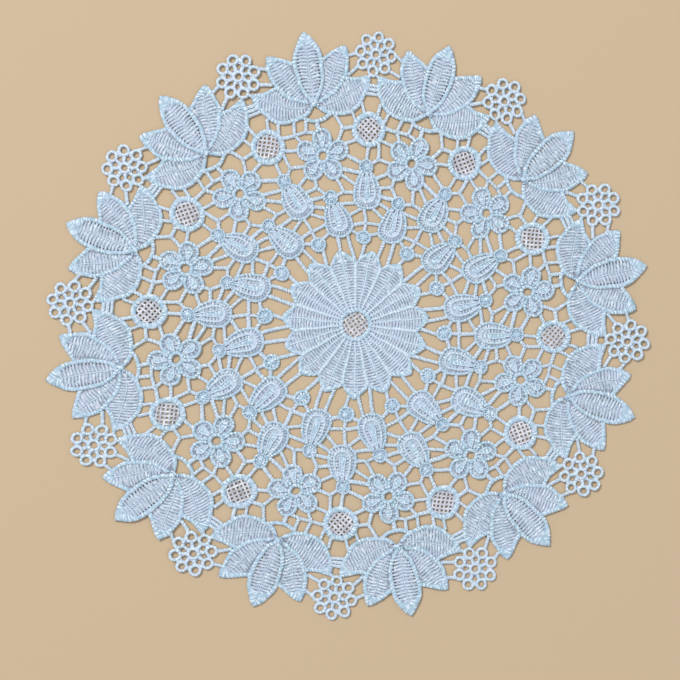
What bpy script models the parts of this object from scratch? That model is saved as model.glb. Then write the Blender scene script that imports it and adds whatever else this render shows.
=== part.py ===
# Round lace doily: one connected web of thread, lying flat, as one thin solid.
# Frame: origin in the middle of the rosette on the underside, +Z up out of the
# lace, the first lotus flower points FIRST_AXIS degrees anticlockwise from +X.
# Lengths in the tables are millimetres; the mesh is in metres.
import math

import bpy
from mathutils import Vector
from mathutils.geometry import delaunay_2d_cdt

for old in list(bpy.data.objects):
    bpy.data.objects.remove(old, do_unlink=True)

# ------------------------------------------------------------- named sizes
MM = 0.001
REPEATS = 12               # times the border pattern goes round
TURN = 360.0 / REPEATS     # degrees taken by one repeat
FIRST_AXIS = 101.0         # direction of the first lotus flower
GAPS_CUT = 25              # gaps cut through in each repeat, largest first
SPREAD = 0.35              # braids lie this much wider where they round into a gap

CORD = 1.40                # height of the satin-stitched rims
BRIDE = 1.15               # height of the short braids at a gap's edge
FILL = 1.00                # height of the open fillings
DIP = 0.70                 # height over the small holes left uncut

# ------------------------------------------------- tables of one repeat, mm
# x to the right and y outwards along the lotus flower's axis, from the
# middle of the doily. One side of the lotus flower is its mirror image.
LOTUS_MIDDLE = [(0, 148.5), (2.6, 147.0), (5.0, 143.3), (6.5, 139.2), (7.5, 134.5),
                (7.4, 128.5), (6.5, 122.5), (4.0, 117.0), (0, 112.6)]
LOTUS_SIDE = [(0.6, 113.4), (4.6, 113.4), (11.8, 116.6), (17.0, 121.8), (19.8, 126.0),
              (20.8, 130.5), (21.2, 135.0), (20.6, 138.3), (17.8, 139.1), (13.4, 137.4),
              (8.8, 135.4), (5.0, 134.2), (3.0, 122.0)]
LOTUS_LOW = [(0.2, 112.2), (3.1, 108.6), (7.0, 106.5), (12.6, 105.4), (18.0, 105.7),
             (22.4, 107.7), (25.4, 111.0), (28.4, 114.8), (30.1, 118.6), (30.6, 121.8),
             (28.0, 122.7), (23.0, 122.5), (18.0, 124.4), (6.0, 118.0)]
LOTUS_ARCH = [(-6.3, 106.9), (-3.4, 105.4), (0.2, 104.9), (3.6, 105.4), (6.8, 107.0)]
ARCH_WIDTH = 2.0

# outline of a teardrop: distance down from the knob, half width
TEAR = [(3.4, 3.5), (5.4, 5.0), (8.0, 6.2), (12.0, 7.15), (15.5, 7.2), (18.5, 6.3), (20.5, 4.2)]
# teardrops: knob x, y, foot x, y
TEARS = [(20.9, 78.6, 17.5, 57.4), (0.3, 66.6, 2.5, 44.8)]
KNOB = 3.0                 # radius of a teardrop's knob

FLOWER = 87.6              # middle of the five-petal flower, out on the axis
FLOWER_TURN = 8.0          # its first petal, degrees clockwise from outwards
PETAL_OUT, PETAL_R = 8.1, 5.1
FLOWER_HEART, FLOWER_HOLE = 4.0, 2.2

DISC_OUT, DISC_AT, DISC_R, NET_R = 99.45, 14.8, 8.6, 6.2
BOSS_OUT, BOSS_AT, BOSS_R = 44.8, 16.5, 4.05
RINGS_OUT, RINGS_AT, RINGS_TURN = 136.35, 15.0, 5.0
RING_STEP, RING_R, RING_HOLE = 8.36, 2.85, 1.45

ROSE_PETALS, ROSE_AT = 15, 101.5
ROSE_TIP, ROSE_NOTCH, ROSE_NET, ROSE_HEART = 35.2, 31.8, 6.2, 8.4

# brides: from x, y, to x, y, width
BRIDES = [
    (-24.6, 109.6, -24.4, 103.6, 1.4), (-19.2, 107.0, -19.9, 101.4, 1.4),
    (-11.3, 106.5, -12.1, 99.4, 1.4), (-12.1, 99.4, -19.0, 99.2, 1.6),
    (-12.1, 99.6, -6.1, 100.2, 1.4), (-5.6, 106.4, -6.1, 100.0, 1.5),
    (-6.2, 100.2, -2.2, 99.3, 1.4), (0.0, 105.0, 0.2, 100.0, 1.9),
    (-12.1, 99.6, -9.2, 95.0, 1.5), (-18.8, 93.0, -11.8, 92.1, 1.4),
    (-19.4, 92.0, -16.8, 84.2, 1.5), (-16.8, 84.2, -9.9, 83.7, 1.4),
    (-16.8, 84.2, -19.2, 80.6, 1.5), (-23.7, 88.4, -22.0, 80.8, 1.4),
    (-9.5, 79.4, -15.2, 74.4, 1.5), (-5.7, 78.0, -5.8, 73.0, 1.5),
    (-5.8, 73.0, -12.2, 70.6, 1.5), (-5.8, 73.0, -1.4, 68.2, 1.5),
    (-11.6, 67.1, -2.4, 67.6, 1.7), (-11.6, 64.6, -3.2, 62.0, 1.6),
    (-11.9, 60.6, -4.8, 56.5, 1.5), (9.4, 106.6, 12.3, 99.3, 1.5),
    (12.3, 99.3, 18.2, 98.9, 1.6), (12.3, 99.4, 9.0, 93.6, 1.5),
    (18.3, 107.0, 19.4, 101.2, 1.3), (24.0, 109.8, 24.3, 103.6, 1.4),
    (11.8, 91.5, 18.4, 92.7, 1.5), (11.7, 86.5, 19.1, 80.5, 1.6),
    (7.6, 80.3, 18.2, 75.8, 1.8), (7.0, 77.8, 13.8, 71.2, 1.5),
    (4.8, 76.4, 7.2, 68.6, 1.5), (2.6, 67.2, 7.2, 68.5, 1.5),
    (7.2, 68.5, 12.3, 67.2, 1.5), (3.8, 63.0, 12.9, 62.2, 1.5),
    (7.4, 56.0, 15.0, 58.9, 1.5), (15.9, 58.8, 15.1, 50.4, 1.6),
    (7.4, 50.9, 15.1, 50.5, 1.8), (15.1, 50.6, 13.6, 45.8, 1.5),
    (15.1, 50.2, 22.6, 48.6, 1.4), (6.3, 48.9, 10.0, 45.6, 1.5),
    (16.2, 43.8, 21.2, 43.9, 1.8), (-8.8, 40.4, -8.3, 31.0, 1.6),
    (4.9, 47.0, 5.7, 31.0, 1.5), (-0.1, 46.4, -0.8, 31.0, 1.7),
    (-25.0, 134.4, -20.4, 132.7, 1.4), (-26.0, 126.4, -19.4, 125.1, 1.5),
    (24.9, 134.0, 20.4, 133.5, 1.4), (25.3, 127.4, 19.0, 124.2, 1.5),
    (28.9, 117.5, 34.2, 115.7, 1.4), (27.2, 113.7, 34.0, 111.9, 1.4),
    (-29.4, 121.4, -32.2, 122.4, 1.5), (29.4, 121.4, 31.6, 122.6, 1.5),
]

# ---------------------------------------------------------------- geometry


def polar(out, clockwise):
    """Point of a repeat by its distance out and degrees clockwise of the axis."""
    angle = math.radians(clockwise)
    return (out * math.sin(angle), out * math.cos(angle))


def turned(point, degrees):
    """The point turned anticlockwise about the middle of the doily."""
    c, s = math.cos(math.radians(degrees)), math.sin(math.radians(degrees))
    return (point[0] * c - point[1] * s, point[0] * s + point[1] * c)


def spoke(repeat):
    """How far the pattern is turned for one of the repeats."""
    return FIRST_AXIS - 90.0 - TURN * repeat


def mirrored(points):
    return [(-x, y) for x, y in points]


def round_outline(centre, radius, corners, first=0.0):
    return [(centre[0] + radius * math.cos(math.radians(first + 360.0 * n / corners)),
             centre[1] + radius * math.sin(math.radians(first + 360.0 * n / corners)))
            for n in range(corners)]


def strip(points, width):
    """Outline of a band of one width laid along a short line of points."""
    left, right = [], []
    for n, (x, y) in enumerate(points):
        ax, ay = points[max(n - 1, 0)]
        bx, by = points[min(n + 1, len(points) - 1)]
        length = math.hypot(bx - ax, by - ay)
        sx, sy = -(by - ay) / length * width / 2, (bx - ax) / length * width / 2
        left.append((x + sx, y + sy))
        right.append((x - sx, y - sy))
    return left + right[::-1]


def teardrop(knob_x, knob_y, foot_x, foot_y):
    """Closed outline from the knob round the foot."""
    length = math.hypot(foot_x - knob_x, foot_y - knob_y)
    dx, dy = (foot_x - knob_x) / length, (foot_y - knob_y) / length
    near = [(knob_x + dx * v - dy * h, knob_y + dy * v + dx * h) for v, h in TEAR]
    far = [(knob_x + dx * v + dy * h, knob_y + dy * v - dx * h) for v, h in TEAR]
    return [(knob_x, knob_y)] + near + [(foot_x, foot_y)] + far[::-1]


def ring_centres():
    middle = polar(RINGS_OUT, RINGS_AT)
    around = []
    for n in range(8):
        dx, dy = polar(RING_STEP, RINGS_AT + RINGS_TURN + 45.0 * n)
        around.append((middle[0] + dx, middle[1] + dy))
    return [middle] + around


def repeat_shapes():
    """Outlines of all that one repeat is made of."""
    shapes = [LOTUS_MIDDLE + mirrored(LOTUS_MIDDLE[1:-1])[::-1]]
    for half in (LOTUS_SIDE, LOTUS_LOW):
        shapes += [half, mirrored(half)]
    shapes.append(strip(LOTUS_ARCH, ARCH_WIDTH))
    for x1, y1, x2, y2, width in BRIDES:
        shapes.append(strip([(x1, y1), (x2, y2)], width + SPREAD))
    for tear in TEARS:
        shapes.append(teardrop(*tear))
        shapes.append(round_outline(tear[:2], KNOB, 10))
    shapes.append(round_outline((0, FLOWER), FLOWER_HEART, 8))
    for n in range(5):
        dx, dy = polar(PETAL_OUT, FLOWER_TURN + 72.0 * n)
        shapes.append(round_outline((dx, FLOWER + dy), PETAL_R, 12, 15.0))
    shapes.append(round_outline(polar(DISC_OUT, DISC_AT), DISC_R, 18))
    shapes.append(round_outline(polar(BOSS_OUT, BOSS_AT), BOSS_R, 12))
    middle, *around = ring_centres()
    for centre in [middle] + around:
        shapes.append(round_outline(centre, RING_R, 10, 8.0))
    for n, centre in enumerate(around):
        shapes.append(strip([middle, centre], 1.6))
        shapes.append(strip([centre, around[(n + 1) % 8]], 2.4))
    return shapes


def rosette_outline():
    points = []
    for n in range(ROSE_PETALS):
        at = ROSE_AT + 360.0 / ROSE_PETALS * n
        for step, out in ((-12.0, ROSE_NOTCH), (-6.5, ROSE_TIP - 1.0), (0.0, ROSE_TIP), (6.5, ROSE_TIP - 1.0)):
            points.append(turned((out, 0.0), at + step))
    return points


def area(points):
    total = 0.0
    for n, (x, y) in enumerate(points):
        ax, ay = points[n - 1]
        total += ax * y - x * ay
    return total / 2.0


def union_loops(shapes):
    """Border loops of the joined shapes, lace on the left of each step."""
    coords, faces = [], []
    for shape in shapes:
        if area(shape) < 0:
            shape = shape[::-1]
        start = len(coords)
        coords += [Vector(p) for p in shape]
        faces.append(list(range(start, start + len(shape))))
    verts, _, tris, _, _, sources = delaunay_2d_cdt(coords, [], faces, 0, 1e-5)
    sides = set()
    for tri, source in zip(tris, sources):
        if source:
            for n, v in enumerate(tri):
                sides.add((tri[n - 1], v))
    following = {}
    for a, b in sides:
        if (b, a) not in sides:
            following.setdefault(a, []).append(b)
    loops = []
    while following:
        first = next(iter(following))
        loop, here, came = [first], first, None
        while True:
            choices = following[here]
            if came is None or len(choices) == 1:
                there = choices[0]
            else:                       # where two gaps meet in a point, stay with this one
                back = math.atan2(verts[came][1] - verts[here][1], verts[came][0] - verts[here][0])
                there = min(choices, key=lambda c: (back - math.atan2(
                    verts[c][1] - verts[here][1], verts[c][0] - verts[here][0])) % (2 * math.pi))
            choices.remove(there)
            if not choices:
                del following[here]
            if there == loop[0]:
                break
            loop.append(there)
            came, here = here, there
        loops.append([(verts[v][0], verts[v][1]) for v in loop])
    return loops


def simplified(points, least, fewest):
    """The outline without the corners that change it least."""
    points = list(points)
    while len(points) > fewest:
        sizes = []
        for n, (x, y) in enumerate(points):
            ax, ay = points[n - 1]
            bx, by = points[(n + 1) % len(points)]
            sizes.append(abs((ax - x) * (by - y) - (bx - x) * (ay - y)) / 2)
        small = min(range(len(points)), key=sizes.__getitem__)
        if sizes[small] > least:
            break
        del points[small]
    return points


def centroid(points):
    return (sum(p[0] for p in points) / len(points), sum(p[1] for p in points) / len(points))


# How unevenly the mat lies, one row to a lotus flower, clockwise from the first:
# shifted outwards near the middle and at the rim (mm), and turned
# anticlockwise at the same two places (degrees).
UNEVEN = [
    # near out, near turn, rim out, rim turn
    (-2.1, 0.2, -0.1, -0.9),
    (-2.6, -0.4, -1.3, 0.3),
    (-1.8, -0.9, -2.4, 0.3),
    (-0.4, -0.3, 0.3, 0.3),
    (-0.5, 0.5, -1.0, 0.6),
    (-0.6, 0.3, -0.9, 0.3),
    (-0.2, -0.2, 0.0, -0.1),
    (0.5, -0.8, 1.5, -0.8),
    (2.1, -0.9, 6.3, -1.7),
    (2.6, 0.1, 8.3, -0.7),
    (1.0, 1.0, 4.6, -0.2),
    (-1.0, 0.8, 1.7, -0.4),
]
STILL, NEAR, RIM = 30.0, 75.0, 140.0     # distances out where those hold, mm


def uneven(x, y):
    """Where a point of the even pattern really lies."""
    out = math.hypot(x, y)
    if out <= STILL:
        return (x, y)
    angle = math.degrees(math.atan2(y, x))
    place = ((FIRST_AXIS - angle) / TURN) % REPEATS
    row = int(place)
    t = place - row
    p0, p1, p2, p3 = (UNEVEN[(row + n) % REPEATS] for n in (-1, 0, 1, 2))
    here = [b + 0.5 * t * (c - a + t * (2 * a - 5 * b + 4 * c - d + t * (3 * (b - c) + d - a)))
            for a, b, c, d in zip(p0, p1, p2, p3)]
    near = min(1.0, (out - STILL) / (NEAR - STILL) * 1.4)
    far = max(0.0, (out - NEAR) / (RIM - NEAR))
    shift = near * here[0] + far * (here[2] - here[0])
    turn = near * here[1] + far * (here[3] - here[1])
    wide = math.radians(angle + turn)
    return ((out + shift) * math.cos(wide), (out + shift) * math.sin(wide))


# ---- build

shapes = []
for repeat in range(REPEATS):
    for shape in repeat_shapes():
        shapes.append([turned(p, spoke(repeat)) for p in shape])
shapes.append(rosette_outline())
loops = union_loops(shapes)
rim = simplified(max(loops, key=area), 0.7, 200)

by_repeat = {}
for loop in loops:
    if area(loop) < 0:
        x, y = centroid(loop)
        repeat = round((FIRST_AXIS - math.degrees(math.atan2(y, x))) / TURN) % REPEATS
        by_repeat.setdefault(repeat, []).append(loop)
gaps = []
for found in by_repeat.values():
    found.sort(key=area)
    for gap in found[:GAPS_CUT]:
        gaps.append(simplified(gap, 2.1, 4 if area(gap) > -28.0 else 5))


def relief():
    """Points raised or sunk in the top face: x, y, height, one repeat."""
    points = []
    for x, y in ((0, 141.0), (4.2, 137.2), (5.3, 131.0), (4.4, 123.6), (0.6, 117.4)):
        points.append((x, y, FILL))
        if x > 1:
            points.append((-x, y, FILL))
    for x, y in ((10.6, 133.2), (16.6, 135.2), (18.2, 130.6), (16.6, 125.6), (12.6, 120.2), (7.2, 116.6)):
        points += [(x, y, FILL), (-x, y, FILL)]
    for x, y in ((17.4, 119.2), (25.4, 119.4), (23.6, 113.4), (18.6, 109.0), (10.6, 108.6), (6.0, 110.6)):
        points += [(x, y, FILL), (-x, y, FILL)]
    for x, y in ((6.9, 131.4), (6.4, 124.6), (3.6, 117.6), (14.6, 119.8), (9.2, 115.8)):
        points += [(x, y, CORD), (-x, y, CORD)]
    points.append((0.1, 105.0, CORD))
    disc = polar(DISC_OUT, DISC_AT)
    points += [(x, y, FILL) for x, y in round_outline(disc, NET_R, 8, 10.0)]
    points.append((disc[0], disc[1], DIP))
    points.append((0, FLOWER, DIP))
    points += [(x, y, CORD) for x, y in round_outline((0, FLOWER), (FLOWER_HEART + FLOWER_HOLE) / 2, 6)]
    for n in range(5):
        dx, dy = polar(PETAL_OUT, FLOWER_TURN + 72.0 * n)
        points.append((dx, FLOWER + dy, CORD + 0.2))
        dx, dy = polar(PETAL_OUT - 1.5, FLOWER_TURN + 36.0 + 72.0 * n)
        points.append((dx, FLOWER + dy, FILL))
    for knob_x, knob_y, foot_x, foot_y in TEARS:
        points.append((knob_x, knob_y, CORD + 0.2))
        length = math.hypot(foot_x - knob_x, foot_y - knob_y)
        dx, dy = (foot_x - knob_x) / length, (foot_y - knob_y) / length
        for v, h, z in ((13.0, 0, CORD + 0.2), (15.0, 4.4, FILL), (15.0, -4.4, FILL), (18.8, 0, FILL)):
            points.append((knob_x + dx * v - dy * h, knob_y + dy * v + dx * h, z))
    x, y = polar(BOSS_OUT, BOSS_AT)
    points.append((x, y, CORD + 0.2))
    for x, y in ring_centres():
        points.append((x, y, DIP))
    return points


def rosette_relief():
    """Ribs between the petals of the rosette, ladders between the ribs."""
    points = [(0.0, 0.0, DIP)]
    points += [(x, y, CORD) for x, y in round_outline((0, 0), (ROSE_NET + ROSE_HEART) / 2, 12)]
    for n in range(ROSE_PETALS):
        at = ROSE_AT + 360.0 / ROSE_PETALS * n
        points.append((*turned((ROSE_TIP - 3.0, 0.0), at), CORD))
        points.append((*turned((ROSE_NOTCH - 1.6, 0.0), at - 12.0), CORD))
        points.append((*turned((20.0, 0.0), at - 12.0), CORD))
        points.append((*turned((12.0, 0.0), at - 12.0), CORD))
        for side in (-6.0, 6.0):
            points.append((*turned((28.5, 0.0), at + side), FILL))
            points.append((*turned((14.0, 0.0), at + side), FILL))
    return points


def inside(point, loop):
    x, y = point
    hit = False
    for n, (bx, by) in enumerate(loop):
        ax, ay = loop[n - 1]
        if (ay > y) != (by > y) and x < (bx - ax) * (y - ay) / (by - ay) + ax:
            hit = not hit
    return hit


def distance(point, loop):
    x, y = point
    best = 1e9
    for n, (bx, by) in enumerate(loop):
        ax, ay = loop[n - 1]
        ex, ey = bx - ax, by - ay
        t = max(0.0, min(1.0, ((x - ax) * ex + (y - ay) * ey) / (ex * ex + ey * ey)))
        best = min(best, math.hypot(ax + t * ex - x, ay + t * ey - y))
    return best


raised = []
for repeat in range(REPEATS):
    raised += [(*turned(p[:2], spoke(repeat)), p[2]) for p in relief()]
raised += rosette_relief()
boxes = []
for loop in gaps + [rim]:
    xs, ys = [p[0] for p in loop], [p[1] for p in loop]
    boxes.append((min(xs) - 1, max(xs) + 1, min(ys) - 1, max(ys) + 1, loop))
kept = []
for x, y, z in raised:
    near = [b[4] for b in boxes if b[0] < x < b[1] and b[2] < y < b[3]]
    if all(loop is rim or not inside((x, y), loop) for loop in near) and \
            all(distance((x, y), loop) > 0.45 for loop in near) and inside((x, y), rim):
        kept.append((x, y, z))


def face(extra):
    """Triangles of the lace between the rim and the gaps, with points inside."""
    coords, faces = [], []
    for loop in [rim] + gaps:
        start = len(coords)
        coords += [Vector(p) for p in loop]
        order = list(range(start, start + len(loop)))
        faces.append(order if area(loop) > 0 else order[::-1])
    coords += [Vector(p[:2]) for p in extra]
    verts, _, tris, origin, _, sources = delaunay_2d_cdt(coords, [], faces, 0, 1e-5)
    if len(verts) != len(coords):
        raise ValueError("outlines of the lace cross: %d points became %d" % (len(coords), len(verts)))
    number = [o[0] for o in origin]
    return [tuple(number[v] for v in tri) for tri, src in zip(tris, sources) if src == [0]]


edge_loops = [rim] + gaps
flat = [p for loop in edge_loops for p in loop]
count = len(flat)


def edge_height(x, y):
    """Rims of the motifs stand a little over the braids between them."""
    out = math.hypot(x, y)
    return CORD if out > 103.5 or out < ROSE_TIP + 0.5 else (CORD + BRIDE) / 2


top = face(kept)
under = face([])
verts = []
for x, y in flat:
    wx, wy = uneven(x, y)
    verts.append((wx * MM, wy * MM, edge_height(x, y) * MM))
for x, y in flat:
    wx, wy = uneven(x, y)
    verts.append((wx * MM, wy * MM, 0.0))
for x, y, z in kept:
    wx, wy = uneven(x, y)
    verts.append((wx * MM, wy * MM, z * MM))
faces = [tuple(v if v < count else v + count for v in tri) for tri in top]
faces += [tuple(v + count for v in tri[::-1]) for tri in under]
start = 0
for loop in edge_loops:
    for n in range(len(loop)):
        a, b = start + n, start + (n + 1) % len(loop)
        faces += [(a, a + count, b + count), (a, b + count, b)]
    start += len(loop)

mesh = bpy.data.meshes.new("doily")
mesh.from_pydata(verts, [], faces)
mesh.validate()
mesh.update()

lace = bpy.data.materials.new("lace")
lace.use_nodes = True
shader = lace.node_tree.nodes["Principled BSDF"]
shader.inputs["Base Color"].default_value = (0.52, 0.68, 0.82, 1.0)
shader.inputs["Roughness"].default_value = 0.85
mesh.materials.append(lace)
doily = bpy.data.objects.new("doily", mesh)
bpy.context.scene.collection.objects.link(doily)
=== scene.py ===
# Looks of the round lace doily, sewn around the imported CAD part.
# Every band, braid and thread is a closed strip between two edges, over a thin
# backing web. Tables are in millimetres and degrees, in the frame of one repeat:
# x to the right and y outwards along the lotus flower's axis, from the middle.
import math

import bpy
import numpy as np
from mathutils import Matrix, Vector
from mathutils.geometry import delaunay_2d_cdt


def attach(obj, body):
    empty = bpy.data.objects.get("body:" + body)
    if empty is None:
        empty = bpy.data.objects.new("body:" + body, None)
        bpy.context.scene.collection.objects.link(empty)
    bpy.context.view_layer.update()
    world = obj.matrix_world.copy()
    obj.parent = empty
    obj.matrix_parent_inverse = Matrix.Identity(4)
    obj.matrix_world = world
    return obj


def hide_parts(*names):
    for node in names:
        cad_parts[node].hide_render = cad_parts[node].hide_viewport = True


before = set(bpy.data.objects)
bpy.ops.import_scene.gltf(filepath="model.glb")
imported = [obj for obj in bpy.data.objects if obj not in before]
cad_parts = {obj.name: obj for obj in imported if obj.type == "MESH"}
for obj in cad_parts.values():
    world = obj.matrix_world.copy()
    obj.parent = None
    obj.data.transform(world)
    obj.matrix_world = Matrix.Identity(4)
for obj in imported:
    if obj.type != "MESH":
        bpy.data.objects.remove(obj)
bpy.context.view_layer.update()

MM = 0.001
REPEATS = 12
TURN = 360.0 / REPEATS
FIRST_AXIS = 101.0  # direction of the first lotus flower
rng = np.random.default_rng(12)  # for what differs from stitch to stitch
STITCH = 0.5  # from the crest of a stitch to the groove beside it
CURVE_FINE = 20  # points to a table's row on a smooth curve

# How unevenly the mat lies, as in part.py: one row to a lotus flower, clockwise,
# shifted outwards (mm) and turned anticlockwise, near the middle and at the rim.
# The numbers are rounded from a warp that a program fitted to the photo.
UNEVEN = np.array([  # near out, near turn, rim out, rim turn
    (-2.1, 0.2, -0.1, -0.9), (-2.6, -0.4, -1.3, 0.3), (-1.8, -0.9, -2.4, 0.3),
    (-0.4, -0.3, 0.3, 0.3), (-0.5, 0.5, -1.0, 0.6), (-0.6, 0.3, -0.9, 0.3),
    (-0.2, -0.2, 0.0, -0.1), (0.5, -0.8, 1.5, -0.8), (2.1, -0.9, 6.3, -1.7),
    (2.6, 0.1, 8.3, -0.7), (1.0, 1.0, 4.6, -0.2), (-1.0, 0.8, 1.7, -0.4),
])
STILL, NEAR, RIM = 30.0, 75.0, 140.0  # distances out: not moved yet, near, at the rim
NEAR_PULL = 1.4  # the near shift is reached this much sooner

# How far threads stray from their drawn line, and the mat from the table.
STRAY, RISE = 0.13, 0.16
LOWEST_RISE, FULL_RISE_OUT = 0.15, 90  # the middle lies flatter

# ---- plane geometry


def polar(out, clockwise):
    """Point by its distance out and its degrees clockwise of the repeat's axis."""
    angle = math.radians(clockwise)
    return np.array((out * math.sin(angle), out * math.cos(angle)))


def spread(out, degrees):
    """Points by their distances out and their degrees anticlockwise of the x axis."""
    a = np.radians(degrees)
    return np.stack([out * np.cos(a), out * np.sin(a)], 1)


def turned(xy, degrees):
    """The points turned anticlockwise about the middle."""
    c, s = math.cos(math.radians(degrees)), math.sin(math.radians(degrees))
    return np.asarray(xy, float) @ np.array(((c, s), (-s, c)))


def spoke(repeat):
    """How far a repeat is turned from the frame of the tables."""
    return FIRST_AXIS - 90.0 - TURN * repeat


def mirrored(xy):
    """The points on the other side of the repeat's axis."""
    return np.asarray(xy, float) * (-1, 1)


def between(a, b, c, d, t):
    """The smooth curve through a, b, c and d, at the share t of the way from b to c."""
    return b + 0.5 * t * (c - a + t * (2 * a - 5 * b + 4 * c - d + t * (3 * (b - c) + d - a)))


def through(points, at):
    """Points of the smooth curve through a table's rows, at fractional row numbers."""
    p = np.asarray(points, float)
    p = np.vstack([2 * p[0] - p[1], p, 2 * p[-1] - p[-2]])
    row = np.clip(at.astype(int), 0, len(p) - 4)
    return between(*(p[row + n] for n in range(4)), (at - row)[:, None])


def lengths(path):
    """How far along the path each of its points is."""
    return np.concatenate([[0], np.cumsum(np.hypot(*np.diff(path[:, :2], axis=0).T))])


def even(path, step):
    """The path at an odd number of evenly spaced points."""
    s = lengths(path)
    n = 2 * max(1, round(s[-1] / step / 2))
    at = np.linspace(0, s[-1], n + 1)
    return np.stack([np.interp(at, s, path[:, k]) for k in range(path.shape[1])], 1)


def smooth(points, step=STITCH):
    """The smooth curve through the points, evenly spaced."""
    at = np.linspace(0, len(points) - 1, CURVE_FINE * len(points))
    return even(through(points, at), step)


def ring(centre, radius, count):
    """Points of a circle, clockwise."""
    a = -np.arange(count) * 2 * math.pi / count
    return np.stack([centre[0] + radius * np.cos(a), centre[1] + radius * np.sin(a)], 1)


def ahead(path, closed=False):
    """Unit direction at each point of paths given as strip × place × 2."""
    if closed:
        step = np.roll(path, -1, 1) - np.roll(path, 1, 1)
    else:
        step = np.gradient(path, axis=1)
    return step / np.maximum(np.linalg.norm(step, axis=2, keepdims=True), 1e-9)


def left_of(path, closed=False):
    """Unit step to the left at each point of one path."""
    d = ahead(path[None], closed)[0]
    return np.stack([-d[:, 1], d[:, 0]], 1)


def offset(path, distance, towards):
    """The path moved sideways, to the side where the point towards lies."""
    side = left_of(path)
    side *= np.sign((side * (np.asarray(towards) - path)).sum())
    return path + side * distance


def local(table, origin, end, flip, length=None):
    """A table of distance and half width laid along the line from origin to end, on
    its other side if flip, and stretched to it if the table's length is given."""
    t = np.asarray(table, float)
    along = np.subtract(end, origin)
    size = np.linalg.norm(along)
    along = along / size
    across = np.array((-along[1], along[0])) * (-1 if flip else 1)
    k = size / length if length else 1.0
    return np.asarray(origin) + t[:, :1] * k * along + t[:, 1:] * across


def round_trip(table, origin, end, length=None):
    """Down one side of the table and back up the other."""
    one = local(table, origin, end, False, length)
    other = local(table, origin, end, True, length)
    if table[-1][1] == 0:
        other = other[:-1]
    return np.vstack([one, other[::-1]])


def bar(x1, y1, x2, y2, width):
    """Outline of a straight bar between two points."""
    a, b = np.array((x1, y1)), np.array((x2, y2))
    side = (b - a)[::-1] * (-1, 1) / np.linalg.norm(b - a) * width / 2
    return np.array([a + side, b + side, b - side, a - side])


def ease(x, low, high):
    """0 up to low, 1 from high on, and a smooth step between."""
    t = np.clip((np.asarray(x, float) - low) / (high - low), 0, 1)
    return t * t * (3 - 2 * t)


def uneven(xy):
    """Where points of the even pattern really lie."""
    out, angle = np.hypot(xy[:, 0], xy[:, 1]), np.degrees(np.arctan2(xy[:, 1], xy[:, 0]))
    place = ((FIRST_AXIS - angle) / TURN) % REPEATS
    row = place.astype(int) % REPEATS
    t = (place - np.floor(place))[:, None]
    here = between(*(UNEVEN[(row + n) % REPEATS] for n in (-1, 0, 1, 2)), t)
    near = np.clip((out - STILL) / (NEAR - STILL) * NEAR_PULL, 0, 1)
    far = np.maximum(0.0, (out - NEAR) / (RIM - NEAR))
    shift = near * here[:, 0] + far * (here[:, 2] - here[:, 0])
    angle = angle + near * here[:, 1] + far * (here[:, 3] - here[:, 1])
    return spread(out + shift, angle)


def ripple(x, y, rate, sway, sway_rate, phase=0.0):
    """A wave along x that sways with y, its rates in radians to a millimetre."""
    return np.sin(x * rate + sway * np.sin(y * sway_rate) + phase)


def lie(points, repeat=None):
    """Points of a repeat, or of the rosette, as the thread lies: a little off its
    drawn line, and not everywhere down on the table."""
    xy = np.asarray(points[:, :2], float)
    if repeat is not None:
        xy = uneven(turned(xy, spoke(repeat)))
    x, y = xy.T
    # waves of unlike lengths, so that nothing repeats
    off = STRAY * np.stack([ripple(x, y, 0.61, 1.9, 0.23) + np.sin(y * 0.37 + 0.8),
                            ripple(y, x, 0.57, 1.7, 0.27, 2.0) + np.sin(x * 0.41)], 1)
    rise = RISE * (2 + ripple(x, y, 0.055, 1.3, 0.041) + ripple(y, x, 0.062, 1.1, 0.05, 1))
    rise = rise * np.clip(np.hypot(x, y) / FULL_RISE_OUT, LOWEST_RISE, 1)
    return np.column_stack([xy + off, points[:, 2] + rise])


# ---- stitches
# Cross-sections of a strip: across from one edge to the other, height.
SATIN = ((-1, 0), (-.98, .52), (-.76, .86), (-.3, 1), (.3, 1), (.76, .86), (.98, .52), (1, 0))
THREAD = ((-1, 0), (-.82, .62), (-.34, 1), (.34, 1), (.82, .62), (1, 0))

# In the grooves between stitches a band keeps this share of its height (groove)
# and of its width (pinch). At its edges a stitch leans along it by the slant.
EDGE = {"groove": 0.85, "pinch": 0.95, "slant": 0.15}  # borders and teardrops' leaves
LEAF = {"groove": 0.84, "pinch": 0.94, "slant": 0.15}  # leaves of the small flowers
SPOT = {"groove": 0.86, "pinch": 0.94, "slant": 0.1}
BRAID = {"groove": 0.5, "pinch": 0.76, "slant": 0.42}
NET_RIM = {"groove": 0.88, "pinch": 0.97}  # rims round the nets
VEIN = {"pinch": 0.8, "base": 0.5}  # fine cords on top of a motif

WIDTH_VARIES, HEIGHT_VARIES = 0.045, 0.05
LEVEL, LEVELS = 0.005, 8  # undersides step up by this, so that neighbours differ
YARN_START = 50  # a strip's yarn pattern starts anywhere up to here
SPOT_STEP, SPOT_END = 0.45, 0.12  # a spot stops this much, in radians, short of its ends
THREAD_BASE = 0.06  # underside of single threads
WAIST_FROM = 0.75  # a thread's waist is where 4 t (1 - t) is over this


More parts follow.
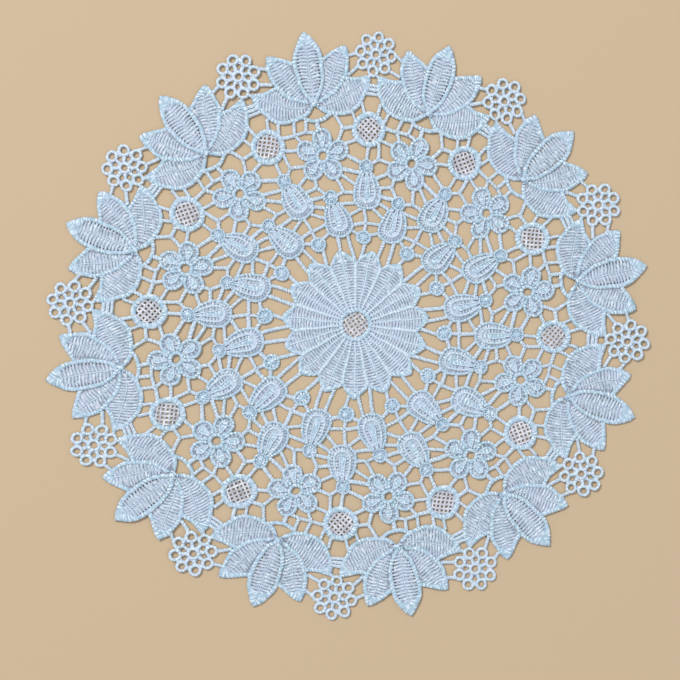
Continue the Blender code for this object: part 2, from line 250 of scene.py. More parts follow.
def grid_faces(grid, closed):
    """The corners of all faces, from a grid of strip × place × point of the section.
    An open strip has faces over its ends too."""
    points, tail = grid.shape[2], grid.shape[3:]
    g = np.concatenate([grid, grid[:, :, :1]], 2)
    sides = np.stack([g[:, :-1, :-1], g[:, :-1, 1:], g[:, 1:, 1:], g[:, 1:, :-1]], 3)
    faces = [sides.reshape(-1, 4, *tail)]
    for m in range(0 if closed else points // 2 - 1):
        cap = [m, points - 1 - m, points - 2 - m, m + 1]
        faces.append(grid[:, 0][:, cap].reshape(-1, 4, *tail))
        faces.append(grid[:, -1][:, cap[::-1]].reshape(-1, 4, *tail))
    return np.vstack(faces)


class Piece:
    """Closed strips of stitches."""

    def __init__(self):
        self.points, self.quads, self.marks, self.count = [], [], [], 0

    def strips(self, left, right, height, base=0.0, groove=1.0, pinch=1.0, slant=0.0,
               section=SATIN, closed=False, lengthwise=False, lift=0.0):
        """Strips between two edges, given as place × 2 or strip × place × 2. Every
        second place is the groove between two stitches. The UVs are millimetres
        along and across, the other way round where the threads run lengthwise."""
        left, right = np.asarray(left, float), np.asarray(right, float)
        if left.ndim == 2:
            left, right = left[None], right[None]
        middle, half = (left + right) / 2, (right - left) / 2
        half = half * (1 + WIDTH_VARIES * rng.standard_normal(half.shape[:2]))[:, :, None]
        d = ahead(middle, closed)
        wrong = (d[..., 0] * half[..., 1] - d[..., 1] * half[..., 0]).sum(1) > 0
        half = half * np.where(wrong, -1, 1)[:, None, None]
        count, places, k = *middle.shape[:2], len(section)
        across, up = np.array(section).T
        odd = np.arange(places) % 2 == 1
        wide = across * np.where(odd, pinch, 1)[:, None]
        rise = up * np.where(odd, groove, 1)[:, None]
        xy = (middle[:, :, None] + half[:, :, None] * wide[None, :, :, None]
              + d[:, :, None] * (slant * across)[:, None])
        height = height * (1 + HEIGHT_VARIES * rng.standard_normal((count, places)))
        base = base + LEVEL * (len(self.points) % LEVELS)
        lift = np.broadcast_to(lift, (count, places))[:, :, None]
        z = lift + base + (height[:, :, None] - base) * rise
        index = np.arange(count * places * k).reshape(count, places, k) + self.count
        steps = np.linalg.norm(np.diff(middle, axis=1), axis=2)
        s = np.concatenate([np.zeros((count, 1)), np.cumsum(steps, 1)], 1)
        v = np.linalg.norm(half, axis=2)[:, :, None] * across
        if closed:
            index = np.concatenate([index, index[:, :1]], 1)
            last = np.linalg.norm(middle[:, 0] - middle[:, -1], axis=1)
            s = np.concatenate([s, s[:, -1:] + last[:, None]], 1)
            v = np.concatenate([v, v[:, :1]], 1)
        s = s + rng.uniform(0, YARN_START, (count, 1))
        mark = np.stack([np.broadcast_to(s[:, :, None], v.shape), v], -1)
        if lengthwise:
            mark = mark[..., ::-1]
        self.points.append(np.concatenate([xy, z[..., None]], -1).reshape(-1, 3))
        self.quads.append(grid_faces(index, closed))
        self.marks.append(grid_faces(mark, closed))
        self.count += count * places * k

    def satin(self, path, width, height, closed=False, groove=0.84, pinch=0.93, slant=0.16, **more):
        """A band of satin stitches along the middle line."""
        path = np.asarray(path, float)
        side = left_of(path, closed) * np.reshape(width, (-1, 1)) / 2
        self.strips(path + side, path - side, height, closed=closed, groove=groove,
                    pinch=pinch, slant=slant, **more)

    def ring(self, centre, inner, outer, height, **more):
        """A round band of satin stitches."""
        radius = (inner + outer) / 2
        count = 2 * round(math.pi * radius / STITCH)
        self.satin(ring(centre, radius, count), outer - inner, height, closed=True, **more)

    def spot(self, centre, wide, high, height):
        """A small oval of stitches lying across."""
        count = 2 * max(2, round(high / SPOT_STEP)) + 1
        a = np.linspace(SPOT_END, math.pi - SPOT_END, count)
        side = np.stack([wide * np.sin(a), -high * np.cos(a)], 1)
        self.strips(side * (-1, 1) + centre, side + centre, height, **SPOT)

    def threads(self, start, end, wide, height, places=2, bend=0.0, arch=0.0,
                change=(0.1, 0.9), waist=0.0):
        """One thread from each start to its end. Its width goes from one to the other
        of wide between the shares change of its length, less the share waist in the
        middle. It bows by bend, and its ends are lower by the share arch."""
        start, end = np.atleast_2d(start), np.atleast_2d(end)
        t = np.linspace(0, 1, places)[None, :, None]
        line = end - start
        side = np.stack([-line[:, 1], line[:, 0]], 1) / np.linalg.norm(line, axis=1)[:, None]
        path = start[:, None] + line[:, None] * t
        path = path + side[:, None] * (4 * t * (1 - t)) * np.reshape(bend, (-1, 1, 1))
        t = t[..., 0]
        w0, w1 = (np.reshape(w, (-1, 1)) for w in wide)
        narrow = 1 - np.reshape(waist, (-1, 1)) * ease(4 * t * (1 - t), WAIST_FROM, 1)
        half = (w0 + (w1 - w0) * ease(t, *change)) * narrow
        half = half[:, :, None] * side[:, None] / 2
        high = np.reshape(height, (-1, 1)) * (1 - arch * (2 * t - 1) ** 2)
        self.strips(path - half, path + half, high, base=THREAD_BASE, section=THREAD,
                    lengthwise=True)


# ---- what is drawn
# One repeat. The paler cords are those on teardrops and flowers.
borders, fills, braids, rings, cords = (Piece() for _ in range(5))
flowers, tears, rungs, discs, nets = (Piece() for _ in range(5))
# The rosette.
rose, ladders, rose_cords, rose_net = (Piece() for _ in range(4))

SOLID, OPENING = 1, 2
plates, rose_plates = [], []  # outlines and their kinds, for the backing web


def plate(outline, kind=SOLID, into=plates):
    """An outline that the backing web fills, or leaves open."""
    into.append((np.asarray(outline, float), kind))


# ---- the lotus flower
# Halves of its petals from base to tip, close to the outlines in part.py.
MIDDLE_HALF = [(0, 112.6), (4.0, 117.0), (6.5, 122.5), (7.4, 128.5), (7.6, 134.5),
               (6.5, 139.5), (4.7, 143.1), (2.5, 146.1), (0, 148.3)]
SIDE_OUTER = [(0.6, 113.4), (4.6, 113.4), (11.8, 116.6), (17.0, 121.8), (19.8, 126.0),
              (20.8, 130.5), (21.2, 135.0), (20.4, 138.9)]
SIDE_INNER = [(6.6, 134.6), (8.8, 135.4), (13.4, 137.4), (17.8, 139.0), (20.4, 138.9)]
LOW_OUTER = [(0.2, 112.2), (3.1, 108.6), (7.0, 106.5), (12.6, 105.4), (18.0, 105.7),
             (22.4, 107.7), (25.4, 111.0), (28.4, 114.8), (30.1, 118.6), (30.8, 122.2)]
LOW_INNER = [(16.6, 124.4), (19.0, 123.7), (23.0, 122.5), (27.0, 122.5), (30.8, 122.2)]
# Closing: how far from the tip the borders start to widen and are widest.
PETALS = [
    # name, outer half, inner half, axis, closing, border height, thread to thread
    ("middle", MIDDLE_HALF, [(-x, y) for x, y in MIDDLE_HALF],
     ((0, 112.6), (0, 148.3)), (11.0, 4.8), 1.45, 1.66),
    ("side", SIDE_OUTER, SIDE_INNER, ((3.0, 114.6), (20.4, 138.9)), (7.4, 2.8), 1.36, 1.50),
    ("low", LOW_OUTER, LOW_INNER, ((2.0, 111.2), (30.8, 122.2)), (7.4, 2.8), 1.28, 1.40),
]
BORDER, BORDER_MORE = 2.15, 2.9  # width of a border, and what it gains towards the tip
NARROWEST, UNBOUND, ON_AXIS = 0.05, 99, 0.3  # least width, no limit, and nearly on the axis
PAST_AXIS, WIDE = 0.6, (2.4, 4.0)  # a wide border may cross the petal's axis by this
BORDER_LOW, BORDER_DROP = 0.4, 0.45  # height at the base, and the share lost at the tip
BORDER_EASE = 3  # both within so many places

# Fillings, base to tip: midrib x, y, inner end x, y, outer end x, y.
FILLS = {
    "middle": [(0, 115.0, -0.9, 115.2, 0.9, 115.2), (0, 118.2, -3.1, 118.6, 3.1, 118.6),
               (0, 122.2, -5.0, 122.8, 5.0, 122.8), (0, 127.0, -5.9, 127.7, 5.9, 127.7),
               (0, 132.0, -6.1, 132.6, 6.1, 132.6), (0, 136.6, -5.7, 137.0, 5.7, 137.0),
               (0, 140.6, -4.6, 140.8, 4.6, 140.8), (0, 144.6, -2.2, 144.7, 2.2, 144.7)],
    "side": [(5.0, 116.2, 4.4, 117.2, 7.3, 115.4), (8.0, 119.6, 6.2, 121.2, 11.2, 117.6),
             (10.8, 123.6, 7.5, 126.0, 15.0, 121.4), (12.9, 127.6, 8.4, 130.4, 17.6, 125.6),
             (14.6, 131.2, 9.6, 133.8, 18.8, 129.8), (16.4, 134.4, 12.8, 135.9, 19.4, 133.4),
             (18.4, 136.8, 16.6, 137.6, 20.0, 136.2)],
    "low": [(4.6, 111.6, 4.2, 113.2, 4.6, 109.8), (9.2, 112.0, 8.4, 115.8, 9.4, 107.6),
            (13.6, 113.4, 12.2, 118.0, 14.4, 106.9), (17.8, 115.2, 16.4, 121.4, 19.4, 107.9),
            (21.6, 117.0, 20.2, 121.8, 23.0, 110.7), (25.2, 118.8, 24.4, 121.8, 27.0, 114.8),
            (28.2, 120.6, 27.6, 122.0, 29.6, 118.6)],
}
# Widths of a filling's threads as shares of the distance from one to the next.
FILL_ROOT, FILL_WIDE = 1.12, (0.77, 0.91)  # at the midrib, at the border
FEW_THIN, THIN = 0.12, 0.7  # the share of much thinner threads, and how thin they are
MIDDLE_THIN = 0.92  # the middle petal's threads are all this much thinner
FAN_THIN = 0.4  # what is left of them where their ends meet
FILL_HIGH, FILL_BEND, FILL_ARCH = (0.86, 0.98), 0.3, 0.16
FULL_BEND = 4  # threads shorter than this bend less
MIDRIB, MIDRIB_HIGH = 0.8, 1.12
SLIT_FROM, SLIT_TO = 0.75, 0.88  # slits along the middle petal, from midrib to border

LOTUS_ARCH = [(-6.3, 106.9), (-3.4, 105.4), (0.2, 104.9), (3.6, 105.4), (6.8, 107.0)]
ARCH_ENDS = (-8.2, 107.4), (8.2, 107.4)
ARCH_WIDTH, ARCH_HIGH = 2.0, 1.2
FOOT, FOOT_SPOT = (0.0, 113.0), (1.5, 1.3, 1.55)  # where the middle petal begins


def petal_edges(half, axis, start, done):
    """Outer and inner edge of one half of a petal's border, base to tip."""
    outer = smooth(half)
    origin, tip = np.array(axis[0], float), np.array(axis[1], float)
    along = (tip - origin) / np.linalg.norm(tip - origin)
    across = np.array((-along[1], along[0]))
    s = lengths(outer)
    left = s[-1] - s
    width = BORDER + BORDER_MORE * ease(-left, -start, -done)
    # square to the outline, and hardly past the petal's axis
    inwards = offset(outer, 1.0, (origin + tip) / 2) - outer
    off = (outer - origin) @ across
    into = inwards @ across
    away = np.where(np.abs(off) < ON_AXIS, NARROWEST, UNBOUND)
    reach = np.where(off * into < 0, np.abs(off) / np.maximum(np.abs(into), 1e-3), away)
    width = np.minimum(width, reach + PAST_AXIS * ease(width, *WIDE))
    return outer, outer + inwards * np.maximum(width, NARROWEST)[:, None]


def petal_border(half, axis, closing, high, flip):
    """The satin border of one half of a petal, lower at the base and the tip."""
    outer, inner = petal_edges(half, axis, *closing)
    place, last = np.arange(len(outer)), len(outer) - 1
    drop = BORDER_DROP * ease(place, last - BORDER_EASE, last)
    rise = ease(place, 0, BORDER_EASE) * (1 - drop)
    borders.strips(flip(outer), flip(inner), BORDER_LOW + (high - BORDER_LOW) * rise, **EDGE)


def petal_filling(name, row, side, flip):
    """Feather stitch: threads from the midrib to both borders, and the midrib."""
    rows = np.array(FILLS[name], float)
    fine = np.linspace(0, len(rows) - 1, 60)
    size = lengths(through(rows[:, :2], fine))
    count = round(size[-1] / row)
    at = np.interp((np.arange(count) + 0.5) / count * size[-1], size, fine)
    rib = through(rows[:, :2], at)
    for part, bend in ((rows[:, 2:4], -FILL_BEND), (rows[:, 4:6], FILL_BEND)):
        ends = through(part, at)
        share = rng.uniform(*FILL_WIDE, count) * (MIDDLE_THIN if name == "middle" else 1)
        share = share * np.where(rng.random(count) < FEW_THIN, THIN, 1)
        reach = np.linalg.norm(ends - rib, axis=1)
        # where the threads' ends draw together they are thinner too
        fan = np.minimum(1, np.linalg.norm(np.gradient(ends, axis=0), axis=1) / row)
        wide = FILL_ROOT * row, row * share * (FAN_THIN + (1 - FAN_THIN) * fan)
        fills.threads(flip(rib), flip(ends), wide, rng.uniform(*FILL_HIGH, count), places=6,
                      bend=bend * side * np.minimum(1, reach / FULL_BEND), arch=FILL_ARCH,
                      change=(0.08, 0.5))
    fills.satin(flip(smooth(rows[:, :2])), MIDRIB, MIDRIB_HIGH, groove=0.86, **VEIN)


def petal_web(name, outer_half, inner_half, flip):
    """The web under a petal, with two slits along the middle one."""
    outline = np.vstack([smooth(outer_half, 1.0), smooth(inner_half, 1.0)[::-1][1:]])
    # under the side and low petals the web stays closed, so the slits between threads show its
    # top's painted shade
    if name != "middle":
        plate(flip(outline))
        return
    plate(outline[:-1])  # its halves meet at the base too
    rows = np.array(FILLS[name], float)[:-1]
    at = np.linspace(0, len(rows) - 1, 14)
    near = through(rows[:, :2], at)
    for part in (rows[:, 2:4], rows[:, 4:6]):
        reach = through(part, at) - near
        plate(np.vstack([near + reach * SLIT_FROM, near[::-1] + reach[::-1] * SLIT_TO]), OPENING)


def lotus_flower():
    """Five petals, the arch under them and a spot at their foot."""
    for name, outer_half, inner_half, axis, closing, high, row in PETALS:
        for side in (1,) if name == "middle" else (1, -1):
            flip = mirrored if side == -1 else np.asarray
            for half in (outer_half, inner_half):
                petal_border(half, axis, closing, high, flip)
            petal_filling(name, row, side, flip)
            petal_web(name, outer_half, inner_half, flip)
    borders.satin(smooth([ARCH_ENDS[0], *LOTUS_ARCH, ARCH_ENDS[1]]), ARCH_WIDTH, ARCH_HIGH)
    borders.spot(FOOT, *FOOT_SPOT)
    arch = smooth(LOTUS_ARCH, 1.0)
    near, far = (offset(arch, ARCH_WIDTH / 2, (0, out)) for out in (0, 2 * RIM))
    plate(np.vstack([near, far[::-1]]))


# ---- the short braids
BRIDES = [  # from x, y, to x, y, width, as in part.py
    (-24.6, 109.6, -24.4, 103.6, 1.4), (-19.2, 107.0, -19.9, 101.4, 1.4),
    (-11.3, 106.5, -12.1, 99.4, 1.4), (-12.1, 99.4, -19.0, 99.2, 1.6),
    (-12.1, 99.6, -6.1, 100.2, 1.4), (-5.6, 106.4, -6.1, 100.0, 1.5),
    (-6.2, 100.2, -2.2, 99.3, 1.4), (0.0, 105.0, 0.2, 100.0, 1.9),
    (-12.1, 99.6, -9.2, 95.0, 1.5), (-18.8, 93.0, -11.8, 92.1, 1.4),
    (-19.4, 92.0, -16.8, 84.2, 1.5), (-16.8, 84.2, -9.9, 83.7, 1.4),
    (-16.8, 84.2, -19.2, 80.6, 1.5), (-23.7, 88.4, -22.0, 80.8, 1.4),
    (-9.5, 79.4, -15.2, 74.4, 1.5), (-5.7, 78.0, -5.8, 73.0, 1.5),
    (-5.8, 73.0, -12.2, 70.6, 1.5), (-5.8, 73.0, -1.4, 68.2, 1.5),
    (-11.6, 67.1, -2.4, 67.6, 1.7), (-11.6, 64.6, -3.2, 62.0, 1.6),
    (-11.9, 60.6, -4.8, 56.5, 1.5), (9.4, 106.6, 12.3, 99.3, 1.5),
    (12.3, 99.3, 18.2, 98.9, 1.6), (12.3, 99.4, 9.0, 93.6, 1.5),
    (18.3, 107.0, 19.4, 101.2, 1.3), (24.0, 109.8, 24.3, 103.6, 1.4),
    (11.8, 91.5, 18.4, 92.7, 1.5), (11.7, 86.5, 19.1, 80.5, 1.6),
    (7.6, 80.3, 18.2, 75.8, 1.8), (7.0, 77.8, 13.8, 71.2, 1.5),
    (4.8, 76.4, 7.2, 68.6, 1.5), (2.6, 67.2, 7.2, 68.5, 1.5),
    (7.2, 68.5, 12.3, 67.2, 1.5), (3.8, 63.0, 12.9, 62.2, 1.5),
    (7.4, 56.0, 15.0, 58.9, 1.5), (15.9, 58.8, 15.1, 50.4, 1.6),
    (7.4, 50.9, 15.1, 50.5, 1.8), (15.1, 50.6, 13.6, 45.8, 1.5),
    (15.1, 50.2, 22.6, 48.6, 1.4), (6.3, 48.9, 10.0, 45.6, 1.5),
    (16.2, 43.8, 21.2, 43.9, 1.8), (-8.8, 40.4, -8.3, 31.0, 1.6),
    (4.9, 47.0, 5.7, 31.0, 1.5), (-0.1, 46.4, -0.8, 31.0, 1.7),
    (-25.0, 134.4, -20.4, 132.7, 1.4), (-26.0, 126.4, -19.4, 125.1, 1.5),
    (24.9, 134.0, 20.4, 133.5, 1.4), (25.3, 127.4, 19.0, 124.2, 1.5),
    (28.9, 117.5, 34.2, 115.7, 1.4), (27.2, 113.7, 34.0, 111.9, 1.4),
    (-29.4, 121.4, -32.2, 122.4, 1.5), (29.4, 121.4, 31.6, 122.6, 1.5),
]
MORE_BRIDES = [(28.0, 115.7, 34.4, 113.8, 1.5)]  # too small to show in the solid
BRIDE_MORE, BRIDE_FLARE = 0.45, 0.4  # added to the width all along, and at both ends
BRIDE_WEB = 0.2  # added to the width of the web under it
BRIDE_HIGH, BRIDE_STEP = 1.2, 0.64


def bride(x1, y1, x2, y2, width):
    """A short straight braid between two motifs."""
    path = smooth([(x1, y1), (x2, y2)], BRIDE_STEP)
    t = np.linspace(-1, 1, len(path))
    braids.satin(path, width + BRIDE_MORE + BRIDE_FLARE * t ** 4, BRIDE_HIGH, **BRAID)
    plate(bar(x1, y1, x2, y2, width + BRIDE_WEB))


# ---- the teardrops
TEARS = [(20.9, 78.6, 17.5, 57.4), (0.3, 66.6, 2.5, 44.8)]  # knob x, y, foot x, y
# Half outlines: distance from the knob, half width.
TEAR = [(2.6, 2.9), (5.4, 5.0), (8.0, 6.2), (12.0, 7.15), (15.5, 7.2), (18.5, 6.25),
        (20.6, 3.9), (21.6, 0)]
TEAR_LOOP = [(3.4, 1.7), (5.0, 2.4), (7.5, 3.2), (10.0, 3.7), (13.0, 3.95), (15.4, 3.65),
             (17.2, 2.4), (17.9, 0)]
TEAR_LEAF = [(3.6, 0.45), (6.5, 0.85), (10.0, 1.2), (12.6, 1.5), (14.2, 1.9), (15.6, 1.7),
             (16.6, 0.6)]
TEAR_VEIN = [(3.4, 0.35), (6.5, 0.8), (10.0, 1.15), (12.6, 1.4), (14.4, 1.5)]
TEAR_LONG = TEAR[-1][0]
TEAR_INSIDE = 13.0  # a place on its line that is inside every outline
TEAR_BORDER, TEAR_HIGH, TEAR_LEAF_HIGH = 1.4, 1.36, 1.05
LOOP_CORD, VEIN_CORD = (1.2, 1.5), (0.8, 1.4)  # width, height
TEAR_RUNG, RUNG_END = 1.75, 1.2  # from rung to rung, and how far in they end
RUNG_WIDTH, RUNG_HIGH = (1.15, 1.4), 0.78
TEAR_SPINE = (7.0, 15.0)  # the stretch of its line that the rungs start from
KNOB_RING, KNOB_WEB = (2.65, 3.75, 1.4), 3.7  # inner and outer radius, height
KNOB_SPOT = (1.45, 1.8, 1.15)  # half width, half length, height
KNOB_ARMS, ARMS_END = 12, 2.9  # threads, and how far out they end
ARM_WIDTH, ARM_HIGH = (0.85, 1.25), 0.8


def teardrop(knob, foot):
    """Border, loop of cord, leaf with two veins, and the rungs behind them."""
    down = (foot - knob) / np.linalg.norm(foot - knob)
    inside = knob + down * TEAR_INSIDE
    outline = smooth(round_trip(TEAR, knob, foot, TEAR_LONG))
    tears.strips(outline, offset(outline, TEAR_BORDER, inside), TEAR_HIGH, **EDGE)
    cords.satin(smooth(round_trip(TEAR_LOOP, knob, foot, TEAR_LONG)), *LOOP_CORD, groove=0.8)
    leaf = [smooth(local(TEAR_LEAF, knob, foot, flip, TEAR_LONG)) for flip in (False, True)]
    tears.strips(*leaf, TEAR_LEAF_HIGH, **EDGE)
    for flip in (False, True):
        cords.satin(smooth(local(TEAR_VEIN, knob, foot, flip, TEAR_LONG)), *VEIN_CORD, **VEIN)
    edge = offset(outline, RUNG_END, inside)
    count = round(lengths(edge)[-1] / TEAR_RUNG)
    fine = even(edge, 0.25)
    ends = fine[np.linspace(6, len(fine) - 7, count).astype(int)]
    back = np.clip((ends - knob) @ down, *TEAR_SPINE)
    rungs.threads(knob + back[:, None] * down, ends, RUNG_WIDTH, RUNG_HIGH)
    plate(np.vstack([[knob], smooth(round_trip(TEAR, knob, foot, TEAR_LONG), 1.2)]))


def tear_knob(knob):
    """A ring with a spot in it and threads between them."""
    tears.ring(knob, *KNOB_RING)
    tears.spot(knob, *KNOB_SPOT)
    arms = ring((0, 0), 1.0, KNOB_ARMS)
    tears.threads(knob + arms, knob + arms * ARMS_END, ARM_WIDTH, ARM_HIGH)
    plate(ring(knob, KNOB_WEB, 24))


# ---- the small flower
FLOWER, FLOWER_PETALS = 87.6, 5  # how far out it is, and its petals
FLOWER_TURN = 8.0  # its first petal, clockwise of outwards
FLOWER_RING = (1.95, 4.0, 1.4)  # inner and outer radius, height
FLOWER_HOLE, FLOWER_HEART = 2.0, 4.0  # of the web
# Half outlines: distance from the heart, half width.
PETAL = [(3.1, 2.1), (4.7, 3.6), (6.4, 4.7), (8.4, 5.05), (10.6, 4.6), (12.5, 3.1), (13.7, 0)]
PETAL_LEAF = [(3.9, 0.4), (5.2, 0.5), (6.6, 1.0), (8.2, 1.5), (9.5, 1.25), (10.4, 0.5), (10.7, 0)]
PETAL_RUNGS = [  # from the leaf, to the border
    ((5.5, 0.6), (5.2, 3.2)), ((7.2, 1.3), (6.9, 4.0)), ((8.9, 1.5), (9.3, 4.2)),
    ((10.0, 0.9), (11.5, 2.9)),
]
PETAL_INSIDE = 7.6  # a place on its axis that is inside its outline
PETAL_BORDER, PETAL_HIGH, PETAL_LEAF_HIGH = 1.6, 1.34, 0.95
PETAL_CORD = (0.9, 1.28)  # width, height
PETAL_RUNG_WIDTH, PETAL_RUNG_HIGH = (0.75, 1.0), 0.66


def flower_petal(heart, out):
    """Border, leaf with a cord round it, and rungs between leaf and border."""
    aim = heart + out
    outline = smooth(round_trip(PETAL, heart, aim))
    inside = heart + out * PETAL_INSIDE
    flowers.strips(outline, offset(outline, PETAL_BORDER, inside), PETAL_HIGH, **EDGE)
    leaf = [smooth(local(PETAL_LEAF, heart, aim, flip), 0.7) for flip in (False, True)]
    flowers.strips(*leaf, PETAL_LEAF_HIGH, **LEAF)
    cords.satin(smooth(round_trip(PETAL_LEAF, heart, aim), 0.65), *PETAL_CORD)
    for flip in (False, True):
        for rung in PETAL_RUNGS:
            start, end = local(rung, heart, aim, flip)
            flowers.threads(start, end, PETAL_RUNG_WIDTH, PETAL_RUNG_HIGH)
    plate(smooth(round_trip(PETAL, heart, aim), 0.9))


def flower():
    """An open ring and five petals round it."""
    heart = np.array((0, FLOWER))
    flowers.ring(heart, *FLOWER_RING)
    plate(ring(heart, FLOWER_HEART, 24))
    for n in range(FLOWER_PETALS):
        flower_petal(heart, polar(1.0, FLOWER_TURN + 360.0 / FLOWER_PETALS * n))
    plate(ring(heart, FLOWER_HOLE, 20), OPENING)


# ---- nets, net discs and bosses
NET_SQUARE, NET_THREADS = 2.0, 6  # from thread to thread, and how many each way
NET_HALF, NET_WAVE = 0.53, 0.12  # half a thread's width, and how far it weaves
NET_HIGH, NET_BASE = 0.62, 0.2
DISC_OUT, DISC_AT = 99.45, 14.8  # how far out, and clockwise of the axis
DISC_RING = (5.85, 8.7, 1.45)  # inner and outer radius, height
DISC_WEB, DISC_HOLE, DISC_NET, DISC_NET_TURN = 8.6, 5.95, 6.1, 41.0
BOSS_OUT, BOSS_AT, BOSS_WEB = 44.8, 16.5, 4.05
BOSS_RING, BOSS_SPOT = (2.55, 4.05, 1.38), (1.7, 1.8, 1.1)
BOSS_ARMS, BOSS_ARMS_AT = 10, 18
BOSS_ARM_START, BOSS_ARM_WIDTH, BOSS_ARM_HIGH = 0.8, (0.9, 1.45), 0.84
BOSS_BAR, BAR_CORD = 1.7, (0.7, 1.3)  # half its length; its width and height


def net(piece, centre, radius, turn):
    """Threads woven both ways over a round opening."""
    for way in (0, 1):
        for n in range(-NET_THREADS // 2, NET_THREADS // 2):
            off = (n + 0.5) * NET_SQUARE
            reach = math.sqrt(radius * radius - off * off)
            count = 2 * math.ceil(reach / STITCH) + 1
            s = np.linspace(-reach, reach, count)
            line = turned(np.stack([s, np.full(count, off)], 1), turn + 90 * way) + centre
            weave = NET_WAVE * np.cos(math.pi * (s / NET_SQUARE - 0.5 + n + way))
            side = left_of(line) * NET_HALF
            piece.strips(line - side, line + side, NET_HIGH, base=NET_BASE, section=THREAD,
                         lengthwise=True, lift=weave)


def net_disc():
    """A satin rim and the net in it."""
    centre = polar(DISC_OUT, DISC_AT)
    discs.ring(centre, *DISC_RING, **NET_RIM)
    net(nets, centre, DISC_NET, DISC_NET_TURN)
    plate(ring(centre, DISC_WEB, 40))
    plate(ring(centre, DISC_HOLE, 32), OPENING)


def boss():
    """A small ring with threads to a spot in its middle, and a bar on that."""
    centre = polar(BOSS_OUT, BOSS_AT)
    discs.ring(centre, *BOSS_RING)
    arms = spread(1.0, BOSS_ARMS_AT + 360.0 / BOSS_ARMS * np.arange(BOSS_ARMS))
    discs.threads(centre + arms * BOSS_ARM_START, centre + arms * ARMS_END,
                  BOSS_ARM_WIDTH, BOSS_ARM_HIGH)
    discs.spot(centre, *BOSS_SPOT)
    bar_line = smooth([centre - (0, BOSS_BAR), centre + (0, BOSS_BAR)])
    discs.satin(bar_line, *BAR_CORD, **VEIN)
    plate(ring(centre, BOSS_WEB, 28))


# ---- the linked rings
RINGS_OUT, RINGS_AT = 136.35, 15.0  # the middle ring
AROUND, RING_STEP, RINGS_TURN = 8, 8.36, 5.0  # the others round it
RING_R, RING_HOLE, RING_HIGH = 3.05, 1.52, 1.34
RING_WEB, CLUSTER_WEB = 0.05, 7.4  # a ring's web is smaller by this; the web between them
STARS_OUT, STAR_R = 4.85, 1.15  # the openings between the rings
HUB_LINK, RIM_LINK = (2.3, 1.8), (2.0, 2.4)  # from a ring's middle to a link's end; width
LINK_HIGH, LINK_STEP = 1.05, 0.45


def ring_link(one, other, short, width):
    """A short band between two rings."""
    line = (other - one) / np.linalg.norm(other - one)
    a, b = one + line * short, other - line * short
    rings.satin(smooth([a, b], LINK_STEP), width, LINK_HIGH, groove=0.7, pinch=0.85)
    plate(bar(*a, *b, width))


def ring_cluster():
    """Nine rings, the outer ones linked to the middle one and round about."""
    middle = polar(RINGS_OUT, RINGS_AT)
    first, step = RINGS_AT + RINGS_TURN, 360.0 / AROUND
    around = [middle + polar(RING_STEP, first + step * n) for n in range(AROUND)]
    for centre in [middle] + around:
        rings.ring(centre, RING_HOLE, RING_R, RING_HIGH, groove=0.82, pinch=0.95)
        plate(ring(centre, RING_R - RING_WEB, 24))
    for n, centre in enumerate(around):
        ring_link(centre, middle, *HUB_LINK)
        ring_link(centre, around[(n + 1) % AROUND], *RIM_LINK)
    plate(ring(middle, CLUSTER_WEB, 40))
    for centre in [middle] + around:
        plate(ring(centre, RING_HOLE, 16), OPENING)
    for n in range(AROUND):
        star = middle + polar(STARS_OUT, first + step * (n + 0.5))
        plate(ring(star, STAR_R, 12), OPENING)


# ---- the rosette
ROSE_PETALS, ROSE_AT = 15, 101.5  # direction of its first petal
ROSE_TURN = 360.0 / ROSE_PETALS
ROSE_NOTCH, ROSE_TIPS = 31.6, (36.9, 38.0)  # its rim between petals, and at their tips
ROSE_LEAN = 1.3  # how far tips lie to either side, degrees
ROSE_POINT, ROSE_POINTS = 1.3, 24  # how round a petal is (1 is pointed); its rim's points
ROSE_HIGH, HEART_HIGH = 1.4, 1.46
ROSE_INNER, ROSE_FOLLOW = 29.4, 0.8  # the border's inner edge, and its share of the scallops
ROSE_NET, ROSE_HEART = 6.2, 8.6  # the ring round the net
ROSE_NET_MORE, ROSE_NET_TURN = 0.2, 35.0
RIB, RIB_WIDTH, RIB_HIGH = (8.0, 30.8), (1.15, 2.1), 1.5  # between two petals: from, to
SPINE, SPINE_CORD = (8.0, 34.0), (0.9, 1.22)  # along a petal's middle: from, to
LADDER, LADDER_STEP = (9.2, 34.6), 1.43  # its threads: from, to, and from one to the next
LADDER_FULL, LADDER_TIP = 30.4, 35.8  # they shorten from the first, to nothing at the second
LADDER_WIDTH = (1.12, 1.06)  # of a thread at both ends, as shares of the step
LADDER_HIGH, LADDER_WAIST = (0.86, 1.0), (0.28, 0.42)
LADDER_BEND, LADDER_UNLIKE = 0.25, 0.06  # their bow, and how the two sides' waists differ


def rosette_rim():
    """The scalloped border, the ring in the middle and its net."""
    steps = np.linspace(-1, 1, ROSE_POINTS + 1)[:-1]
    peak = 1 - np.abs(steps) ** ROSE_POINT
    scallops = []
    for n in range(ROSE_PETALS):
        tip, lean = rng.uniform(*ROSE_TIPS), rng.uniform(-ROSE_LEAN, ROSE_LEAN)
        scallops.append(spread(ROSE_NOTCH + (tip - ROSE_NOTCH) * peak,
                               ROSE_AT + ROSE_TURN * (n + steps / 2) + lean * peak))
    scallops = np.vstack(scallops)
    away = np.hypot(*scallops.T)[:, None]
    inner = scallops / away * (ROSE_INNER + ROSE_FOLLOW * (away - ROSE_NOTCH))
    rose.strips(scallops, inner, ROSE_HIGH, groove=0.86, pinch=0.985, closed=True)
    plate(scallops, SOLID, rose_plates)
    plate(ring((0, 0), ROSE_NET, 40), OPENING, rose_plates)
    rose.ring((0, 0), ROSE_NET, ROSE_HEART, HEART_HIGH, **NET_RIM)
    net(rose_net, np.zeros(2), ROSE_NET + ROSE_NET_MORE, ROSE_NET_TURN)


